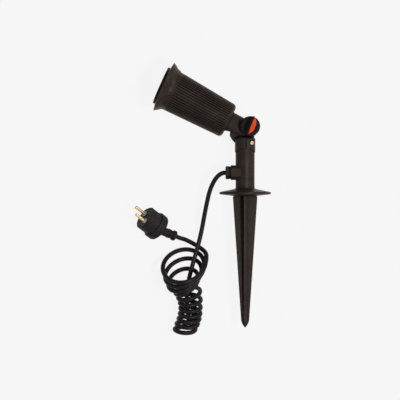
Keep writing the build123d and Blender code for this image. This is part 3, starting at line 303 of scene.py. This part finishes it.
def moulded(
    name, dark, pale, rough, grain=2600.0, bevel=EDGE, patch=55.0, gloss=0.10,
    groove_shade=None, shade_reach=0.003,
):
    """Moulded plastic or rubber: mottled colour, painted shade darkening grooves and corners, fine
    grain and uneven gloss.
    """
    material, tree, shader = new_material(name)
    cloud = noise(tree, patch, detail=5.0, rough=0.6)
    colour = blend_colours(tree, spread(tree, cloud, 0, 1, *MOTTLE), dark, pale)
    normal = rounded_normal(tree, bevel) if bevel else None
    # painted shade: the colour darkens towards a shade colour deep in grooves, corners and gaps between
    # pieces
    if groove_shade:
        share = spread(tree, openness(tree, shade_reach), 0, 1, *GROOVE_SHADE_SPAN)
        colour = blend_colours(tree, share, groove_shade, colour)
    tree.links.new(colour, shader.inputs["Base Color"])
    grit = noise(tree, grain, detail=3.0, rough=0.6)
    tree.links.new(bump(tree, grit, GRAIN_DEPTH, normal), shader.inputs["Normal"])
    smear = noise(tree, scale=18.0, detail=6.0, rough=0.65)
    dullness = spread(tree, smear, rough - 0.07, rough + 0.08, *SMEARS)
    tree.links.new(dullness, shader.inputs["Roughness"])
    shader.inputs["Specular IOR Level"].default_value = gloss
    shader.inputs["Specular Tint"].default_value = (*GLINT, 1)
    return material


def metal(name, colour, dull, rough):
    """Plated or turned metal with fine scratches and a slightly uneven tone."""
    material, tree, shader = new_material(name)
    cloud = noise(tree, scale=120.0)
    tone = blend_colours(tree, spread(tree, cloud, 0, 1, *TARNISH), colour, dull)
    tree.links.new(tone, shader.inputs["Base Color"])
    shader.inputs["Metallic"].default_value = 1.0
    streaks = noise(tree, scale=900.0, detail=3.0, rough=0.6, stretch=(1, 1, 14))
    dullness = spread(tree, streaks, rough - 0.06, rough + 0.1, *SMEARS)
    tree.links.new(dullness, shader.inputs["Roughness"])
    scratches = bump(tree, streaks, SCRATCH_DEPTH, rounded_normal(tree, FINE_EDGE))
    tree.links.new(scratches, shader.inputs["Normal"])
    return material


def clear_glass(name, tint, rough):
    """Clear glass with a faint uneven haze."""
    material, tree, shader = new_material(name)
    shader.inputs["Base Color"].default_value = (*tint, 1)
    shader.inputs["Transmission Weight"].default_value = 1.0
    shader.inputs["IOR"].default_value = 1.5
    haze = noise(tree, scale=40.0, detail=5.0)
    tree.links.new(spread(tree, haze, rough, rough + 0.04, *HAZE), shader.inputs["Roughness"])
    return material


looks = {
    "body": moulded(
        "body_plastic", (0.017, 0.0120, 0.0100), (0.030, 0.0212, 0.0165), 0.42,
        # painted shade colour for the body's grooves, corners and gaps between pieces
        groove_shade=(0.004, 0.003, 0.003), shade_reach=0.005,
    ),
    "ribbed": moulded(
        "ribbed_plastic", (0.021, 0.0148, 0.0122), (0.039, 0.0282, 0.0210), 0.34,
        # painted shade colour between the housing's ribs
        bevel=None, groove_shade=(0.0035, 0.0026, 0.0028),
    ),
    "knob": moulded("knob_plastic", (0.006, 0.0045, 0.006), (0.012, 0.0085, 0.011), 0.42, gloss=0.06),
    "gland": moulded("gland_plastic", (0.013, 0.011, 0.011), (0.024, 0.021, 0.020), 0.38),
    "cord": moulded(
        "cord_rubber", (0.010, 0.0075, 0.0085), (0.017, 0.013, 0.0145), 0.36,
        grain=1800.0, patch=90.0, bevel=None,
    ),
    "plug": moulded("plug_rubber", (0.013, 0.010, 0.0115), (0.023, 0.018, 0.020), 0.50),
    "orange": moulded(
        "orange_plastic", (0.56, 0.052, 0.004), (0.68, 0.075, 0.008), 0.42,
        bevel=FINE_EDGE, gloss=0.2,
    ),
    "pale": moulded("pale_plastic", (0.36, 0.34, 0.32), (0.52, 0.50, 0.47), 0.40, bevel=FINE_EDGE),
    "white": moulded("white_plastic", (0.72, 0.71, 0.68), (0.82, 0.81, 0.78), 0.35, bevel=FINE_EDGE),
    "rubber": moulded("black_rubber", (0.012, 0.012, 0.012), (0.02, 0.02, 0.02), 0.6, bevel=FINE_EDGE),
    "leads": moulded("lead_insulation", (0.16, 0.07, 0.03), (0.22, 0.10, 0.05), 0.4, bevel=FINE_EDGE),
    "ceramic": moulded("ceramic", (0.74, 0.73, 0.68), (0.84, 0.82, 0.78), 0.3),
    "brass": metal("brass", (0.62, 0.455, 0.275), (0.50, 0.355, 0.205), 0.40),
    "steel": metal("steel", (0.62, 0.61, 0.59), (0.46, 0.45, 0.44), 0.32),
    "mirror": metal("reflector", (0.90, 0.90, 0.89), (0.82, 0.82, 0.81), 0.12),
    "glass": clear_glass("lens_glass", (0.97, 0.98, 0.98), 0.02),
}

wears = {
    "body": ("spike", "ground_flange", "post", "collar", "elbow", "lens_ring"),
    "ribbed": ("housing",),
    "knob": ("knob",),
    "gland": ("gland_body", "gland_nut"),
    "plug": ("plug_body", "plug_boot"),
    "orange": ("knob_inlay",),
    "pale": ("plug_pin_sleeves",),
    "white": ("terminal_block",),
    "rubber": ("gland_seal", "friction_washer", "elbow_gasket", "lens_gasket"),
    "leads": ("post_leads", "lamp_leads"),
    "ceramic": ("lampholder",),
    "brass": ("plug_pins", "knob_insert", "set_screw"),
    "steel": (
        "pivot_bolt", "elbow_screws", "lamp_pins", "holder_bracket", "holder_screws", "knob_washer",
    ),
    "mirror": ("lamp_bowl",),
    "glass": ("lens", "lamp_cover"),
    "cord": ("cable_end",),
}
for look, names in wears.items():
    for name in names:
        for place in nodes[name].material_slots:
            place.link = "OBJECT"
            place.material = looks[look]
cord_data.materials.append(looks["cord"])

# ------------------------------------------------------------------ floor, world and lights
WHITE = (1, 1, 1, 1)
PAPER = 0.935               # the photograph's background, as light
FLOOR_HALF = 4.0
FLOOR_COLOUR = (0.86, 0.86, 0.86, 1)
FLOOR_ROUGH = 0.9
SHADOW_SHARE = 0.05         # how much of the lit floor, and so of the shadow, shows through the paper
AMBIENT = 0.09
AIM = Vector((0, 0, 0.04))  # what the lights point at

corners = [(x * FLOOR_HALF, y * FLOOR_HALF, 0) for x, y in ((-1, -1), (1, -1), (1, 1), (-1, 1))]
floor_mesh = bpy.data.meshes.new("floor")
floor_mesh.from_pydata(corners, [], [(0, 1, 2, 3)])
floor = bpy.data.objects.new("floor", floor_mesh)
bpy.context.collection.objects.link(floor)


def background_rays(tree):
    """1 for the rays that see the plain background: camera, glossy and transmission rays."""
    path = tree.nodes.new("ShaderNodeLightPath")
    share = path.outputs["Is Camera Ray"]
    for name in ("Is Glossy Ray", "Is Transmission Ray"):
        most = tree.nodes.new("ShaderNodeMath")
        most.operation = "MAXIMUM"
        tree.links.new(share, most.inputs[0])
        tree.links.new(path.outputs[name], most.inputs[1])
        share = most.outputs[0]
    return share


floor_material, floor_tree, floor_shader = new_material("floor")
floor_shader.inputs["Base Color"].default_value = FLOOR_COLOUR
floor_shader.inputs["Roughness"].default_value = FLOOR_ROUGH
paper = floor_tree.nodes.new("ShaderNodeEmission")
paper.inputs["Color"].default_value = WHITE
paper.inputs["Strength"].default_value = PAPER
lit = floor_tree.nodes.new("ShaderNodeMath")
lit.operation = "MULTIPLY"
lit.inputs[1].default_value = 1 - SHADOW_SHARE
floor_tree.links.new(background_rays(floor_tree), lit.inputs[0])
floor_mix = floor_tree.nodes.new("ShaderNodeMixShader")
floor_tree.links.new(lit.outputs[0], floor_mix.inputs[0])
floor_tree.links.new(floor_shader.outputs[0], floor_mix.inputs[1])
floor_tree.links.new(paper.outputs[0], floor_mix.inputs[2])
floor_tree.links.new(floor_mix.outputs[0], floor_tree.nodes["Material Output"].inputs["Surface"])
floor_mesh.materials.append(floor_material)

world = bpy.data.worlds.new("world")
bpy.context.scene.world = world
world.use_nodes = True
world_tree = world.node_tree
ambient = world_tree.nodes["Background"]
ambient.inputs["Color"].default_value = WHITE
ambient.inputs["Strength"].default_value = AMBIENT
shown = world_tree.nodes.new("ShaderNodeBackground")
shown.inputs["Color"].default_value = WHITE
shown.inputs["Strength"].default_value = PAPER
world_mix = world_tree.nodes.new("ShaderNodeMixShader")
world_tree.links.new(background_rays(world_tree), world_mix.inputs[0])
world_tree.links.new(ambient.outputs[0], world_mix.inputs[1])
world_tree.links.new(shown.outputs[0], world_mix.inputs[2])
world_tree.links.new(world_mix.outputs[0], world_tree.nodes["World Output"].inputs["Surface"])


def soft_light(name, place, size, power):
    """Square area light at place, turned to the middle of the lamp."""
    data = bpy.data.lights.new(name, "AREA")
    data.shape = "SQUARE"
    data.size = size
    data.energy = power
    light = bpy.data.objects.new(name, data)
    light.location = place
    light.rotation_euler = (AIM - Vector(place)).to_track_quat("-Z", "Y").to_euler()
    bpy.context.collection.objects.link(light)


soft_light("key", place=(0.78, -0.30, 2.0), size=0.40, power=31)
soft_light("right", place=(1.3, 0.5, 0.9), size=0.7, power=6)
soft_light("left", place=(-1.3, 0.6, 0.9), size=0.8, power=1.0)
